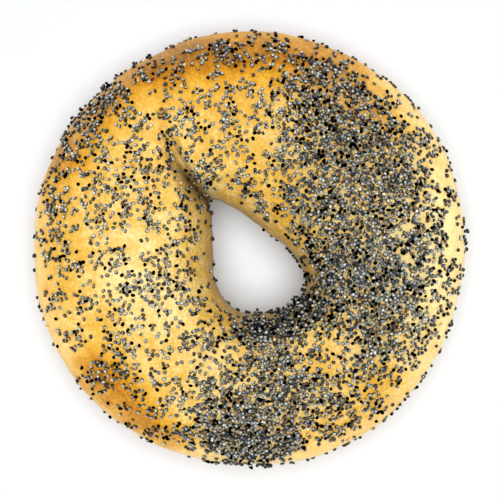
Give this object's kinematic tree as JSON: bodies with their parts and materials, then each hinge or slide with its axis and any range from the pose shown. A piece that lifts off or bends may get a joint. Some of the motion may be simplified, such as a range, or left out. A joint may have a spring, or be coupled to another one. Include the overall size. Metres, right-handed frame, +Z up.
{
  "type": "bagel",
  "caption": "Hand-rolled bread ring with a teardrop hole and a pressed seam; it lies on its flat baked underside.",
  "frame": {"origin": "on the resting plane, under the middle of the ring's bounding box", "axes": "+Z up, out of the domed and seeded top; seen from above, the seam runs from the hole's tip towards -X +Y, and +X is to the right"},
  "size_m": [0.1072, 0.108, 0.036],
  "materials": {
    "bread_crust": "satin",
    "poppy_seed": "satin"
  },
  "bodies": {
    "root": {"bread_ring": "bread_crust"}
  },
  "joints": []
}
